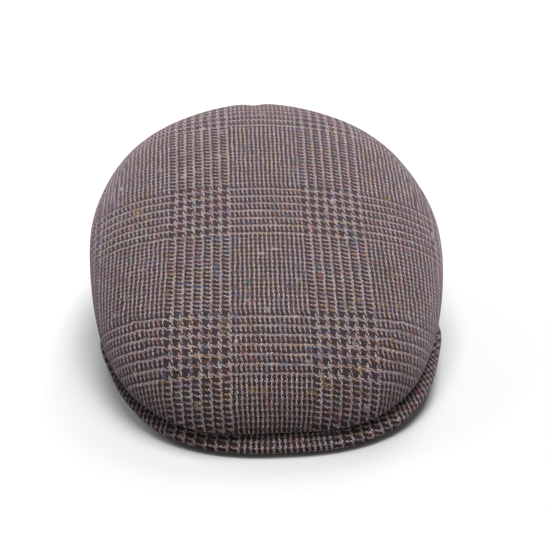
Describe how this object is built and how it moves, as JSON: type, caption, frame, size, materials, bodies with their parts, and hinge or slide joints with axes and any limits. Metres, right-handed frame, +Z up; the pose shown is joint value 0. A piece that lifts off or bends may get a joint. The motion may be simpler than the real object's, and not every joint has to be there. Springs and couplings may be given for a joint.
{
  "type": "ivy cap",
  "caption": "Soft ivy cap in brown glen check tweed: a wide rounded crown rolled forward over a short stiff peak, open below for the head.",
  "frame": {"origin": "middle of the cap's outline seen from above, on the surface that it rests on", "axes": "+Z up, +Y from the peak to the back, +X to the right of the picture"},
  "size_m": [0.206, 0.2779, 0.1002],
  "materials": {
    "tweed": "brown and grey glen check wool tweed with coloured flecks, matt with a soft haze",
    "peak_tweed": "the same glen check tweed drawn over a stiff peak board"
  },
  "bodies": {
    "root": {"crown_top": "tweed", "side_left": "tweed", "side_right": "tweed", "peak": "peak_tweed"}
  },
  "joints": []
}
